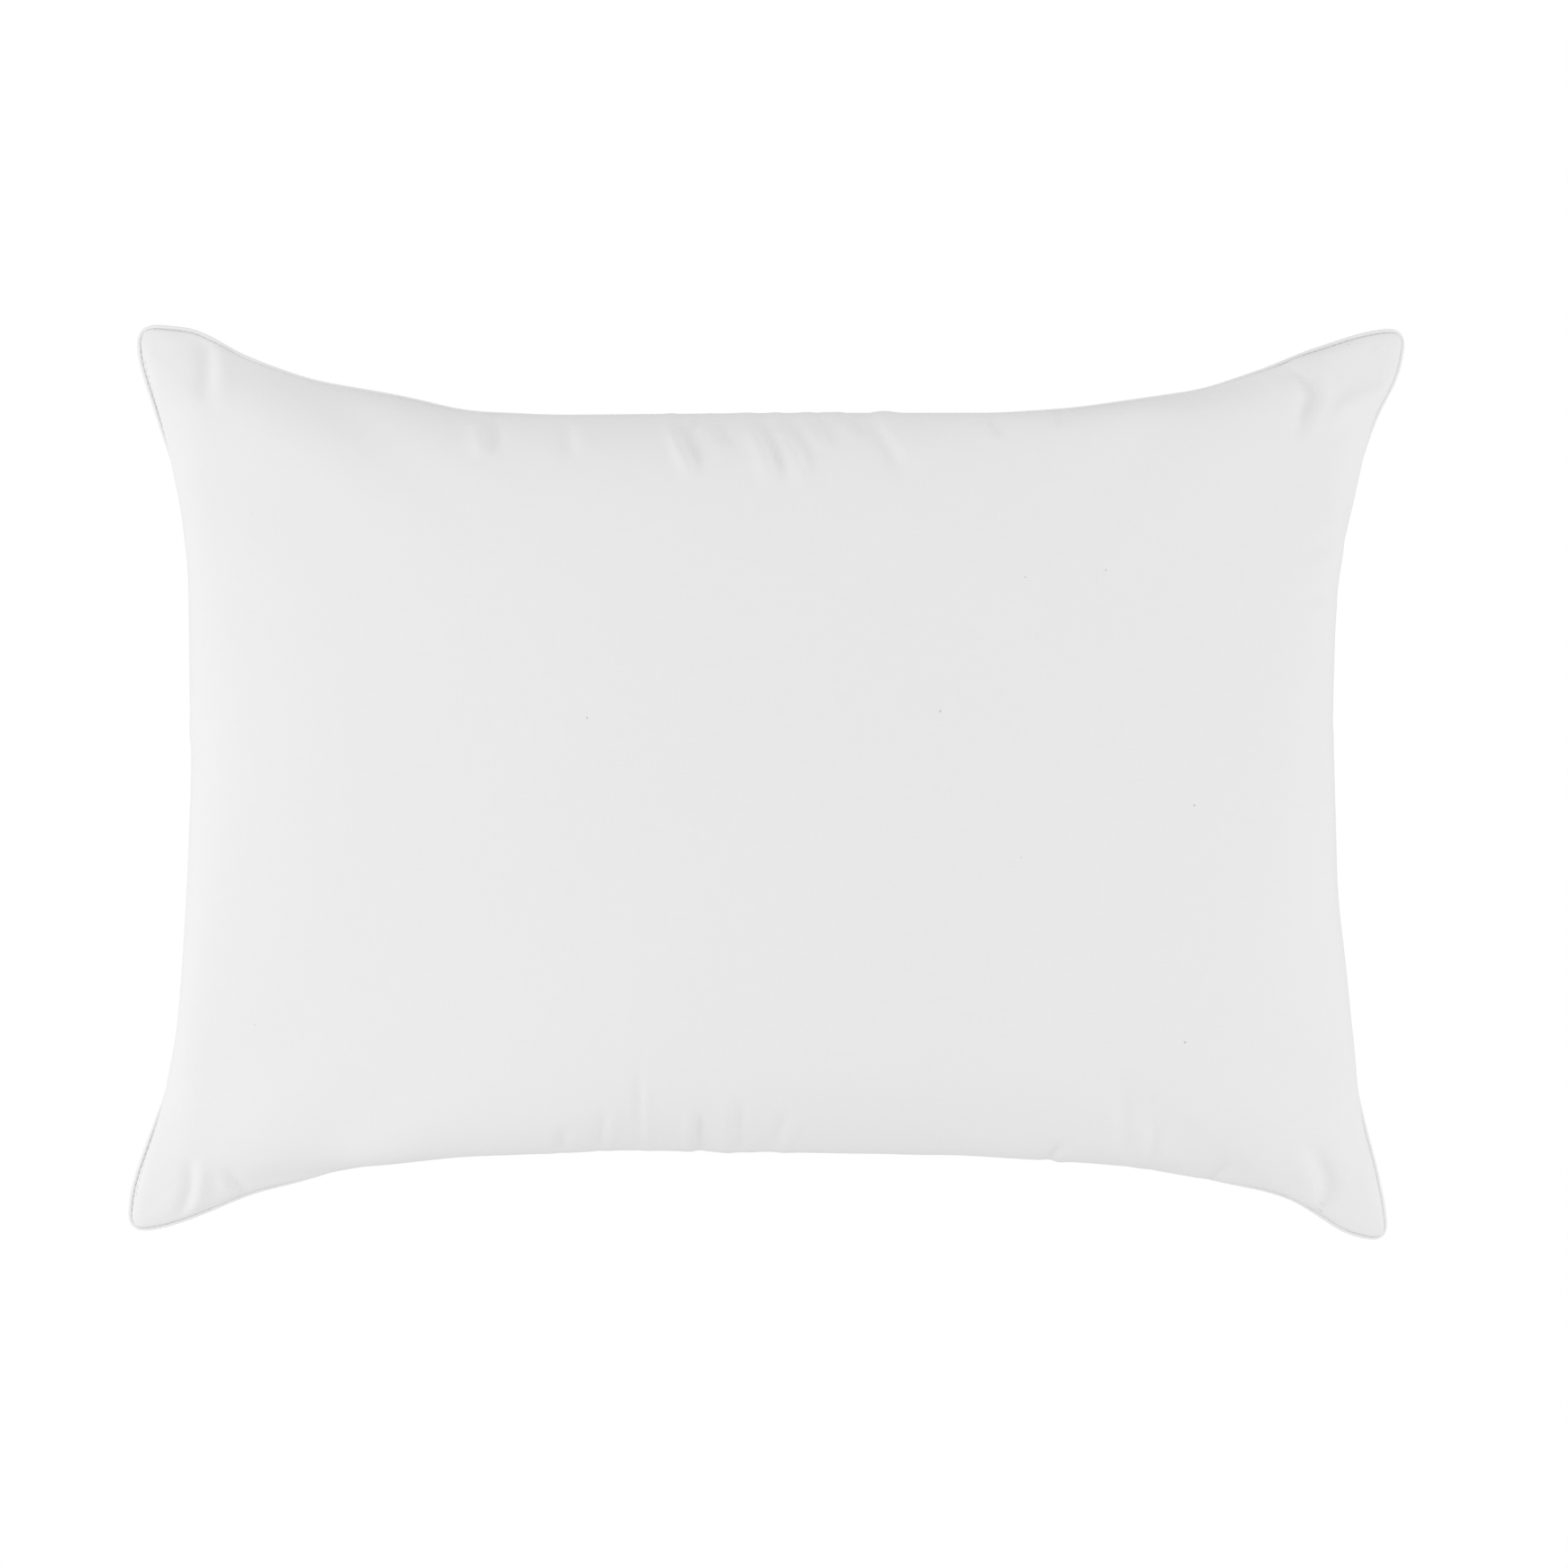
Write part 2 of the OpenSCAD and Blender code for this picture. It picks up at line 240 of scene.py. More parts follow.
def inflate():
    columns, rows = round(cut["length"] / cut["cell"]), round(cut["width"] / cut["cell"])
    grid = unitGrid(columns, rows)
    count = grid[..., 0].size
    border = np.zeros(grid.shape[:2], bool)
    border[[0, -1], :] = True
    border[:, [0, -1]] = True
    frontIds = np.arange(count).reshape(border.shape)
    backIds = frontIds.copy()
    backIds[~border] = count + np.arange((~border).sum())
    puff = (1 - grid[..., 0] ** 2) * (1 - grid[..., 1] ** 2)
    drawn = seamTarget(grid)

    def bothSides(xy, z, spread):
        front = np.dstack([xy, z + spread])
        back = np.dstack([xy, z - spread])
        return np.concatenate([front.reshape(-1, 3), back[~border]])

    chance = np.random.default_rng(3)
    spread = bagShape["startGap"] * mm * puff
    flat = bothSides(grid * [cut["length"] / 2, cut["width"] / 2], 0 * puff, spread)
    loose = np.concatenate([~border.ravel(), np.ones(len(flat) - count)])
    flat[:, 2] += chance.normal(0, bagShape["unevenness"] * mm, len(flat)) * loose
    target = bothSides(drawn[..., :2], drawn[..., 2], bagShape["startHeight"] * mm * puff)

    faces = gridFaces(frontIds) + [face[::-1] for face in gridFaces(backIds)]
    mesh = bpy.data.meshes.new("bag")
    mesh.from_pydata(flat.tolist(), [], faces)
    bag = bpy.data.objects.new("bag", mesh)
    scene.collection.objects.link(bag)
    bag.shape_key_add(name="flat")
    key = bag.shape_key_add(name="drawn")
    key.data.foreach_set("co", target.astype(np.float32).ravel())
    for value, at in ((0, 1), (1, bagShape["drawFrames"])):
        key.value = value
        key.keyframe_insert("value", frame=at)
    bag.vertex_groups.new(name="seam").add(frontIds[border].tolist(), 1.0, "REPLACE")
    cloth = bag.modifiers.new("Cloth", "CLOTH")
    cloth.point_cache.frame_start = 1
    cloth.point_cache.frame_end = bagShape["frames"]
    cloth.collision_settings.use_collision = False
    settings = cloth.settings
    settings.quality = 5
    settings.mass = 0.1
    settings.tension_stiffness = settings.compression_stiffness = bagShape["stiffness"]
    settings.shear_stiffness = bagShape["stiffness"] / 2
    settings.bending_stiffness = bagShape["bending"]
    settings.tension_damping = settings.compression_damping = settings.shear_damping = 5
    settings.bending_damping = 0.5
    settings.air_damping = 2
    settings.use_pressure = True
    settings.uniform_pressure_force = bagShape["pressure"]
    settings.vertex_group_mass = "seam"
    settings.pin_stiffness = 1
    settings.effector_weights.gravity = 0
    scene.frame_start = 1
    scene.frame_end = bagShape["frames"]
    for number in range(1, bagShape["frames"] + 1):
        scene.frame_set(number)
    blown = bag.evaluated_get(bpy.context.evaluated_depsgraph_get())
    points = np.empty(len(flat) * 3, np.float32)
    blown.data.vertices.foreach_get("co", points)
    points = points.reshape(-1, 3).astype(float)
    bpy.data.objects.remove(bag)
    scene.frame_set(1)
    return points[frontIds], points[backIds], grid


front, back, grid = inflate()
print("bag inflated, heights", front[..., 2].max().round(4), back[..., 2].min().round(4))

# Easing the wrinkles

easing = {
    "reach": 4,           # cells that are averaged
    "passes": 2,
    "share": 0.9,         # of the wrinkles that each pass smooths away
    "topShare": 0.85,
    "calmFrom": 6 * mm,   # from the seam, where the small folds along it are smoothed too
    "calmOver": 20 * mm,
    "calmReach": 5,       # fine cells
}


def averaged(values, axis, cells):
    reach = 3 * cells
    weights = np.exp(-0.5 * (np.arange(-reach, reach + 1) / cells) ** 2)
    weights /= weights.sum()
    pad = [(0, 0)] * values.ndim
    pad[axis] = (reach, reach)
    padded = np.pad(values, pad, "reflect", reflect_type="odd")
    size = values.shape[axis]
    return sum(w * np.take(padded, range(k, k + size), axis) for k, w in enumerate(weights))


def eased(panel):
    u, v = grid[..., 0], grid[..., 1]
    nearLong = np.clip(np.abs(v) * 2 - 1, 0, 1)
    nearShort = np.clip(np.abs(u) * 3 - 2, 0, 1)
    longShare = np.where(v > 0, easing["topShare"], easing["share"])
    towardsLong = nearLong / (nearLong + nearShort + 1e-6)
    share = easing["share"] * (1 - np.maximum(nearLong, nearShort))
    overLong = share + longShare * nearLong * towardsLong
    overShort = share + easing["share"] * nearShort * (1 - towardsLong)
    panel = panel + overLong[..., None] * (averaged(panel, 0, easing["reach"]) - panel)
    return panel + overShort[..., None] * (averaged(panel, 1, easing["reach"]) - panel)


for _ in range(easing["passes"]):
    front, back = eased(front), eased(back)


# Halves the cells along both axes
def refined(values):
    for axis in (0, 1):
        moved = np.moveaxis(values, axis, 0)
        padded = np.pad(moved, [(1, 1)] + [(0, 0)] * (moved.ndim - 1), "reflect", reflect_type="odd")
        between = (9 * (padded[1:-2] + padded[2:-1]) - padded[:-3] - padded[3:]) / 16
        out = np.empty((2 * len(moved) - 1,) + moved.shape[1:])
        out[::2] = moved
        out[1::2] = between
        values = np.moveaxis(out, 0, axis)
    return values


front, back = refined(refined(front)), refined(refined(back))
fineGrid = unitGrid(front.shape[0] - 1, front.shape[1] - 1)
flatCut = fineGrid * [cut["length"] / 2, cut["width"] / 2]
fromSeam = np.min([cut["length"] / 2 - abs(flatCut[..., 0]), cut["width"] / 2 - abs(flatCut[..., 1])], 0)


def smoothed(panel, cells):
    return averaged(averaged(panel, 0, cells), 1, cells)


calm = smoothStep((fromSeam - easing["calmFrom"]) / easing["calmOver"])[..., None]
front, back = (panel + calm * (smoothed(panel, easing["calmReach"]) - panel) for panel in (front, back))

# Fitting the bag to its outline and the floor

resting = {
    "seamHeight": 95 * mm,    # at the middle of a short side
    "press": 20 * mm,         # what the pillow's weight takes off the underside
    "ease": 7 * mm,           # how softly the underside meets the floor
    "showSeam": 0.5 * mm,     # how far the top side may bulge past its seam
    "bulgeReach": 90 * mm,    # cloth that moves with the bulge
    "bulgeFade": 12 * mm,
    "seamReach": 40 * mm,     # cloth that moves with the seam
    "rays": 720,              # on which the outline is fitted
    "rayAverages": (11, 7),   # rays that are averaged, twice over
    "tries": 2,
    "rounds": 3,
    "lipOver": 2 * mm,        # from the seam to where the allowance lifts the panel
    "lipFade": 50 * mm,
}


# Scales a panel up or down from the seam until it reaches a height
def stretchedTo(panel, height):
    level = seamTarget(fineGrid)[..., 2]
    for _ in range(4):
        k = np.argmax(panel[..., 2] * np.sign(height))
        rise = panel[..., 2] - level
        panel[..., 2] = level + rise * (height - level.flat[k]) / rise.flat[k]


stretchedTo(front, loft - resting["seamHeight"])
stretchedTo(back, -resting["seamHeight"] - resting["press"])


# The top side's bulge is kept behind its seam, so that the seam shows there
def behindSeam(panel):
    y = panel[..., 1]
    seam = y[:, -1:]
    upper = fineGrid[..., 1] > 0
    furthest = np.where(upper, y, -1).max(1, keepdims=True)
    excess = np.clip(furthest - seam - resting["showSeam"], 0, None) * (1 - fineGrid[:, :1, 0] ** 8)
    start = furthest - resting["bulgeReach"]
    share = np.clip((y - start) / (furthest - start), 0, 1) ** 2
    kept = smoothStep(fromSeam / resting["bulgeFade"])
    panel[..., 1] = np.where(upper, y - excess * share * kept, y)


targetLoop = np.concatenate([
    sidePoints("bottom", np.linspace(0, 1, 400)), sidePoints("right", np.linspace(0, 1, 300)),
    sidePoints("top", np.linspace(1, 0, 400)), sidePoints("left", np.linspace(1, 0, 300)),
])
viewCentre = np.array([view["aside"], -view["below"]])


# How much larger a point looks than one at the height of the seam, because it is nearer to the camera
def nearer(points, highest):
    height = points[:, 2:] - highest + loft
    return (view["height"] - view["seamHeight"]) / (view["height"] - height)


# Where a point is seen from above
def fromAbove(points, highest):
    return viewCentre + (points[:, :2] - viewCentre) * nearer(points, highest)


# The other way round: where a point has to be to be seen there
def asSeen(points, highest):
    place = viewCentre + (points[:, :2] - viewCentre) / nearer(points, highest)
    return np.column_stack([place, points[:, 2]])


# Scales the bag along each ray from its middle until it fills its outline
def fitted(front, back):
    targetAngle = np.arctan2(targetLoop[:, 1], targetLoop[:, 0])
    order = np.argsort(targetAngle)
    bins = np.linspace(-math.pi, math.pi, resting["rays"] + 1)
    rays = (bins[:-1] + bins[1:]) / 2
    targetRadius = np.linalg.norm(targetLoop[order], axis=1)
    target = np.interp(rays, targetAngle[order], targetRadius, period=2 * math.pi)
    for _ in range(resting["tries"]):
        seam = loopOf(front)
        out = outwards(seam)
        reach = seam + out * (perSide(piping["out"], out) + piping["radius"])
        cloud = np.concatenate([front.reshape(-1, 3), back.reshape(-1, 3), reach])
        cloud = fromAbove(cloud, front[..., 2].max())
        angle, radius = np.arctan2(cloud[:, 1], cloud[:, 0]), np.linalg.norm(cloud, axis=1)
        where = np.clip(np.digitize(angle, bins) - 1, 0, len(rays) - 1)
        now = np.zeros(len(rays))
        np.maximum.at(now, where, radius)
        ratio = target / now
        for width in resting["rayAverages"]:
            ratio = np.convolve(np.pad(ratio, width // 2, "wrap"), np.ones(width) / width, "valid")
        for panel in (front, back):
            angle = np.arctan2(panel[..., 1], panel[..., 0])
            radius = np.hypot(panel[..., 0], panel[..., 1])
            edge = np.interp(angle, rays, now, period=2 * math.pi)
            share = np.clip(radius / edge, 0, 1) ** 3
            grow = 1 + (np.interp(angle, rays, ratio, period=2 * math.pi) - 1) * share
            panel[..., :2] *= grow[..., None]
    return front, back


# Draws the seam to its exact place from above, and the cloth beside it along with it
def placeSeam(panel, highest):
    target = [asSeen(side, highest) for side in seamSides(panel.shape[0] - 1, panel.shape[1] - 1)]
    now = panel[:, 0], panel[-1], panel[:, -1], panel[0]
    bottom, right, top, left = ((there - here) * [1, 1, 0] for there, here in zip(target, now))
    near = [np.clip(1 - gap / resting["seamReach"], 0, 1)[..., None] ** 2 for gap in (
        flatCut[..., 1] + cut["width"] / 2, cut["length"] / 2 - flatCut[..., 0],
        cut["width"] / 2 - flatCut[..., 1], flatCut[..., 0] + cut["length"] / 2)]
    moves = bottom[:, None], right[None], top[:, None], left[None]
    sides = sum(share * move for share, move in zip(near, moves))
    ends = right[0], right[-1], left[-1], left[0]
    corners = sum(near[k] * near[(k + 1) % 4] * end for k, end in enumerate(ends))
    return panel + sides - corners


def onFloor(z):
    ease = resting["ease"]
    return np.where(z > ease, z, np.where(z < -ease, 0, (z + ease) ** 2 / (4 * ease)))


behindSeam(front)
behindSeam(back)
for _ in range(resting["rounds"]):
    front, back = fitted(front, back)
    highest = front[..., 2].max()
    front, back = placeSeam(front, highest), placeSeam(back, highest)
rise = loft - front[..., 2].max()
front[..., 2] += rise
back[..., 2] += rise
print("seam height at mid side", front[0, front.shape[1] // 2, 2].round(4))
lifted = piping["bulk"] * np.clip(fromSeam / resting["lipOver"], 0, 1)
overSeam = (piping["lip"] + lifted) * smoothStep(1.2 - fromSeam / resting["lipFade"])
front[..., 2] += overSeam
back[..., 2] = onFloor(back[..., 2] - overSeam)
back[..., 2] -= back[..., 2].min()

# Swellings beside the seam

# The front rises more quickly from the seam there, or more slowly where the height is below 0.
# A row is the side, two places along it, the height and its distance from the seam. Millimetres.
swellingFade = {"start": 32, "end": 60}
swellings = [
    ("top", -320, -110, -5.5, 13),
    ("top", -170, 170, 2.5, 12),
    ("top", 130, 310, -4.0, 13),
    ("bottom", -320, -120, -3.5, 13),
    ("bottom", -170, 170, 1.5, 12),
    ("bottom", 130, 310, -4.0, 12),
]


def swollen(panel):
    x, y = flatCut[..., 0] / mm, flatCut[..., 1] / mm
    for side, start, end, height, at in swellings:
        share = (cut["width"] / 2 / mm - (y if side == "top" else -y)) / at
        begun, left = (x - start) / swellingFade["start"], (end - x) / swellingFade["end"]
        window = smoothStep(begun) * smoothStep(left)
        panel[..., 2] += height * mm * window * share * np.exp(1 - share)


highest = front[..., 2].max()
swollen(front)
front[..., 2] -= np.clip(front[..., 2] - highest, 0, None)
print("seam swollen")

# Creases

creaseShape = {
    "ridgeAway": 1.7,     # from the line to the ridge beside it, in half widths of the crease
    "ridgeWidth": 1.2,
    "start": 0.5,         # share of its depth with which a crease starts
    "rise": 4,            # how quickly it deepens
    "fade": 0.5,          # share of its length over which it fades out
    "clear": 6 * mm,      # from the seam
    "lean": [0.6, 0.3, 1],    # share of the depth that is taken in each direction
}

# A crease is a line on the front as it is seen from above, its depth, its half width and the height of
# the ridge beside it, which is on the left of the line's direction when above 0. Millimetres.
creases = [
    # near the top left corner
    ([(-299, 235), (-297, 219), (-300, 197)], 2.8, 5, 1.6),
    ([(-304, 238), (-303, 220), (-306, 200)], 2.2, 10, 0),
    # slanting from the middle of the top seam
    ([(-146, 193), (-144, 172)], 3.4, 4.5, -2.6),
    ([(-107, 190), (-104, 170)], 1.8, 4.5, 1.2),
    ([(-34, 195), (-42, 187)], 3.2, 2.5, 2.2),
    ([(-46, 191), (-41, 180), (-33, 162)], 3.6, 3.4, -3.2),
    ([(-28, 192), (-16, 176)], 2.6, 3.5, -1.4),
    ([(-4, 193), (5, 176), (10, 154)], 3.0, 4, -2.8),
    ([(11, 193), (21, 177), (27, 157)], 2.6, 4, -2.3),
    ([(27, 194), (37, 178)], 2.4, 3.5, -1.8),
    ([(44, 195), (52, 184)], 3.0, 3, -1.2),
    ([(52, 195), (62, 178), (75, 158)], 3.4, 5, 3.0),
    ([(116, 194), (125, 182)], 2.2, 3, -1.2),
    ([(152, 197), (158, 188)], 2.0, 3, 0.8),
    # near the top right corner
    ([(273, 221), (284, 216), (291, 206), (285, 196), (281, 178)], 3.8, 4.2, 2.0),
    ([(321, 234), (326, 229)], 1.2, 3, 0.6),
    ([(331, 209), (313, 203), (302, 195), (296, 180)], -2.4, 5, 0),
    # near the bottom left corner
    ([(-312, -231), (-306, -216), (-307, -196)], 2.3, 3.6, -1.5),
    ([(-296, -228), (-295, -203)], 1.0, 4, 0),
    ([(-277, -221), (-283, -212), (-291, -205)], 2.2, 3, 1.2),
    # along the bottom
    ([(-110, -196), (-108, -182)], 2.2, 3, 0.8),
    ([(-89, -195), (-86, -172)], 1.8, 3, -1.2),
    ([(-68, -195), (-68, -145)], 1.3, 2.5, -0.9),
    ([(-68, -148), (-68, -85)], 0.12, 2.5, 0.1),
    ([(-36, -197), (-36, -172)], 3.0, 3, 1.8),
    ([(-15, -197), (-15, -165)], 2.8, 3.8, 1.0),
    ([(3, -196), (12, -172)], 2.0, 3.5, -1.4),
    ([(149, -202), (158, -191)], 3.4, 2.8, -2.0),
    ([(191, -200), (190, -154)], 1.6, 5, 0.6),
    ([(204, -204), (207, -178)], 1.5, 3.5, 0.9),
    ([(234, -214), (248, -201)], 3.4, 3, -1.8),
    # near the bottom right corner
    ([(293, -232), (299, -219), (296, -205), (285, -186)], 3.2, 5.5, 2.2),
    ([(308, -237), (304, -221)], 1.0, 3, 0.6),
    # mid sides
    ([(-305, 14), (-293, 35)], 1.0, 4, 0.6),
    ([(304, 128), (284, 124)], 1.0, 5, 0.5),
    ([(301, 99), (282, 97)], 0.9, 4, 0.5),
    ([(300, 32), (280, 33)], 0.8, 4, 0.5),
]


# Rounds the bends of a line by cutting its corners
def rounded(line):
    for _ in range(3 if len(line) > 2 else 0):
        quarter, rest = 0.75 * line[:-1] + 0.25 * line[1:], 0.25 * line[:-1] + 0.75 * line[1:]
        cutLine = np.stack([quarter, rest], 1).reshape(-1, 2)
        line = np.vstack([line[:1], cutLine[1:-1], line[-1:]])
    return line


def creased(panel):
    normal = gridNormals(panel)
    total = np.zeros(panel.shape[:2])
    xy = fromAbove(panel.reshape(-1, 3), panel[..., 2].max()).reshape(panel[..., :2].shape) / mm
    for corners, depth, width, ridge in creases:
        line = rounded(np.array(corners, float))
        lengths = np.linalg.norm(np.diff(line, axis=0), axis=1)
        best = np.full(panel.shape[:2], 1e9)
        side = np.zeros(panel.shape[:2])
        along = np.zeros(panel.shape[:2])
        walked = 0
        for start, end, length in zip(line[:-1], line[1:], lengths):
            way = (end - start) / length
            offset = xy - start
            t = np.clip(offset @ way, 0, length)
            gap = offset - t[..., None] * way
            distance = np.linalg.norm(gap, axis=-1)
            closer = distance < best
            best = np.where(closer, distance, best)
            side = np.where(closer, offset @ np.array([-way[1], way[0]]), side)
            along = np.where(closer, (walked + t) / lengths.sum(), along)
            walked += length
        signed = np.sign(side) * best
        fade = (np.clip(creaseShape["start"] + along * creaseShape["rise"], 0, 1)
                * smoothStep((1 - along) / creaseShape["fade"]))
        valley = np.exp(-(signed / width) ** 2)
        away = math.copysign(creaseShape["ridgeAway"] * width, ridge or 1)
        beside = np.exp(-((signed - away) / (creaseShape["ridgeWidth"] * width)) ** 2)
        total += fade * (abs(ridge) * beside - depth * valley)
    total *= mm * np.clip(fromSeam / creaseShape["clear"], 0, 1)
    return panel + normal * creaseShape["lean"] * total[..., None]


def gridNormals(panel):
    du = np.gradient(panel, axis=0)
    dv = np.gradient(panel, axis=1)
    normal = np.cross(du, dv)
    return normal / np.maximum(np.linalg.norm(normal, axis=-1), 1e-12)[..., None]


liningShape = {
    "fade": 12 * mm,      # from the seam, where it doesn't mind the folds
    "smooth": 3,          # fine cells; what lies below them is a hollow
    "reach": 4,           # fine cells that each hollow is widened by
}


# A face that lies that deep inside a panel, and below the folds, because its cells are larger
def lining(panel, way, depth):
    normal = gridNormals(panel) * way
    reach = liningShape["reach"]
    away = np.clip(fromSeam / liningShape["fade"], 0, 1)
    hollow = ((smoothed(panel, liningShape["smooth"]) - panel) * normal).sum(-1)
    hollow = np.clip(hollow, 0, None) * away
    for axis in (0, 1):
        hollow = np.max([np.roll(hollow, k, axis) for k in range(-reach, reach + 1)], axis=0)
    return panel - normal * (depth + hollow * away)[..., None]


front = creased(front)
print("creases laid")

# Cloth and thread finishes

cotton = {
    "colour": 0.80,
    "variation": 0.012,
    "thread": 0.36 * mm,  # spacing of the threads
    "slubs": (60, 1500),  # uneven stretches to a metre, along a thread and across it
    "clouds": 9.0,        # patches of faint colour drift to a metre
    "weave": 0.35,        # how much it takes part in the relief, beside the slubs
    "relief": 0.06 * mm,
    "strength": 0.25,
    "roughness": 0.92,
    "gloss": 0.2,
    "sheen": 0.05,
    "sheenRoughness": 0.6,
}

flecks = {
    "cells": 22.0,        # to a metre
    "rare": 0.92,         # share of the cells without one
    "radius": 0.007,      # in cells
    "spread": 0.008,
    "dark": 0.22,
}


class Nodes:
    def __init__(self, name):
        self.material = bpy.data.materials.new(name)
        self.material.use_nodes = True
        self.tree = self.material.node_tree
        self.shader = self.tree.nodes["Principled BSDF"]

    def add(self, kind, values=(), **settings):
        node = self.tree.nodes.new(kind)
        for name, value in settings.items():
            setattr(node, name, value)
        for socket, value in dict(values).items():
            if isinstance(value, bpy.types.NodeSocket):
                self.tree.links.new(value, node.inputs[socket])
            else:
                node.inputs[socket].default_value = value
        return node.outputs[0]

    def math(self, operation, a, b=0.0):
        return self.add("ShaderNodeMath", {0: a, 1: b}, operation=operation)

    def split(self, vector):
        node = self.tree.nodes.new("ShaderNodeSeparateXYZ")
        self.tree.links.new(vector, node.inputs[0])
        return node.outputs

    def link(self, output, socket):
        self.tree.links.new(output, self.shader.inputs[socket])

    # A grey, and a relief
    def finish(self, value, height, look):
        self.link(self.add("ShaderNodeCombineColor", {0: value, 1: value, 2: value}), "Base Color")
        relief = {"Height": height, "Strength": look["strength"], "Distance": look["relief"]}
        self.link(self.add("ShaderNodeBump", relief), "Normal")
        self.shader.inputs["Roughness"].default_value = look["roughness"]
        return self.material


# A plain weave that follows the cut, with uneven threads and a few dark flecks
def clothMaterial(name, look, turned=0.0, flecked=False):
    n = Nodes(name)
    uv = n.add("ShaderNodeUVMap", uv_map="cut")
    turnedUv = n.add("ShaderNodeVectorRotate", {"Vector": uv, "Angle": turned}, rotation_type="Z_AXIS")
    turn = math.pi / look["thread"]
    across, down = (n.math("SINE", n.math("MULTIPLY", part, turn)) for part in n.split(turnedUv)[:2])
    weave = n.math("MULTIPLY", across, down)
    slubs = []
    for stretch in (look["slubs"], look["slubs"][::-1]):
        stretched = n.add("ShaderNodeMapping", {"Vector": turnedUv, "Scale": (*stretch, 1)})
        slubs.append(n.add("ShaderNodeTexNoise", {"Vector": stretched, "Scale": 1.0, "Detail": 2.0}))
    slub = n.math("ADD", *slubs)
    cloud = n.add("ShaderNodeTexNoise", {"Vector": uv, "Scale": look["clouds"], "Detail": 3.0})
    tone = n.math("ADD", n.math("MULTIPLY", n.math("SUBTRACT", slub, 1.0), look["variation"] * 2),
                  n.math("MULTIPLY", n.math("SUBTRACT", cloud, 0.5), look["variation"]))
    value = n.math("ADD", tone, look["colour"])
    if flecked:
        spots = n.tree.nodes.new("ShaderNodeTexVoronoi")
        spots.voronoi_dimensions = "2D"
        spots.inputs["Scale"].default_value = flecks["cells"]
        n.tree.links.new(uv, spots.inputs["Vector"])
        pick = n.tree.nodes.new("ShaderNodeSeparateColor")
        n.tree.links.new(spots.outputs["Color"], pick.inputs[0])
        chosen = n.math("GREATER_THAN", pick.outputs[0], flecks["rare"])
        size = n.math("ADD", n.math("MULTIPLY", pick.outputs[1], flecks["spread"]), flecks["radius"])
        inside = n.math("LESS_THAN", spots.outputs["Distance"], size)
        dark = n.math("MULTIPLY", n.math("MULTIPLY", chosen, inside), flecks["dark"])
        value = n.math("SUBTRACT", value, dark)
    n.shader.inputs["Specular IOR Level"].default_value = look["gloss"]
    n.shader.inputs["Sheen Weight"].default_value = look["sheen"]
    n.shader.inputs["Sheen Roughness"].default_value = look["sheenRoughness"]
    return n.finish(value, n.math("ADD", n.math("MULTIPLY", weave, look["weave"]), slub), look)


threadLook = {
    "colour": 0.79,
    # painted shade: how much darker the grooves of the twist are made
    "paintedShade": 0.03,
    "twist": 0.5 * mm,    # length of one turn
    "relief": 0.05 * mm,
    "strength": 0.4,
    "roughness": 0.6,
}


def threadMaterial(name, look):
    n = Nodes(name)
    along = n.math("ADD", *n.split(n.add("ShaderNodeUVMap", uv_map="cut"))[:2])
    ply = n.math("SINE", n.math("MULTIPLY", along, 2 * math.pi / look["twist"]))
    # The colour follows the ply's relief: painted shade, darker in the grooves between the plies
    return n.finish(n.math("ADD", n.math("MULTIPLY", ply, look["paintedShade"]), look["colour"]), ply, look)


fillLook = {
    "colour": 0.78,
    # painted shade: how much darker the hollows between the lumps are made
    "paintedShade": 0.1,
    "lumps": 90.0,        # to a metre
    "relief": 2 * mm,
    "strength": 0.6,
    "roughness": 1.0,
}


def fillingMaterial(name, look):
    n = Nodes(name)
    place = n.add("ShaderNodeNewGeometry")
    lumps = n.add("ShaderNodeTexNoise", {"Vector": place, "Scale": look["lumps"], "Detail": 6.0})
    # The colour follows the lumps' relief: painted shade, darker in the hollows between them
    return n.finish(n.math("ADD", n.math("MULTIPLY", lumps, look["paintedShade"]), look["colour"]), lumps, look)


percale = clothMaterial("whitePercale", cotton, flecked=True)
biasTape = clothMaterial("biasTape", {**cotton, "colour": 0.82}, turned=math.pi / 4)
sewingThread = threadMaterial("sewingThread", threadLook)
cordTwist = threadMaterial("cordTwist", {**threadLook, "colour": 0.76, "twist": 2 * mm, "roughness": 0.9})
fluff = fillingMaterial("fluff", fillLook)
ribbon = clothMaterial("satinRibbon", {**cotton, "thread": 0.22 * mm, "roughness": 0.45, "sheen": 0.2})

# Building meshes


def insideOut(mesh):
    mesh.calc_loop_triangles()
    corners = np.empty(len(mesh.loop_triangles) * 3, np.int32)
    mesh.loop_triangles.foreach_get("vertices", corners)
    places = np.empty(len(mesh.vertices) * 3, np.float32)
    mesh.vertices.foreach_get("co", places)
    a, b, c = np.moveaxis(places.reshape(-1, 3).astype(float)[corners.reshape(-1, 3)], 1, 0)
    return np.einsum("ij,ij->", a, np.cross(b, c)) < 0


# The last few faces can be flat, so that a folded edge stays crisp
def build(name, points, faces, uvs, material, flat=0):
    mesh = bpy.data.meshes.new(name)
    mesh.from_pydata(np.asarray(points).tolist(), [], faces)
    smooth = len(mesh.polygons) - flat
    mesh.polygons.foreach_set("use_smooth", [True] * smooth + [False] * flat)
    layer = mesh.uv_layers.new(name="cut")
    corner = np.empty(len(mesh.loops), np.int32)
    mesh.loops.foreach_get("vertex_index", corner)
    layer.data.foreach_set("uv", np.asarray(uvs, np.float32)[corner].ravel())
    mesh.materials.append(material)
    mesh.validate()
    if insideOut(mesh):
        mesh.flip_normals()
    piece = bpy.data.objects.new(name, mesh)
    scene.collection.objects.link(piece)
    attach(piece, "root")
    return piece


# Between the rings of one grid and those of another
def ringFaces(here, there):
    return np.stack([here, there, np.roll(there, -1, 1), np.roll(here, -1, 1)], -1).reshape(-1, 4).tolist()


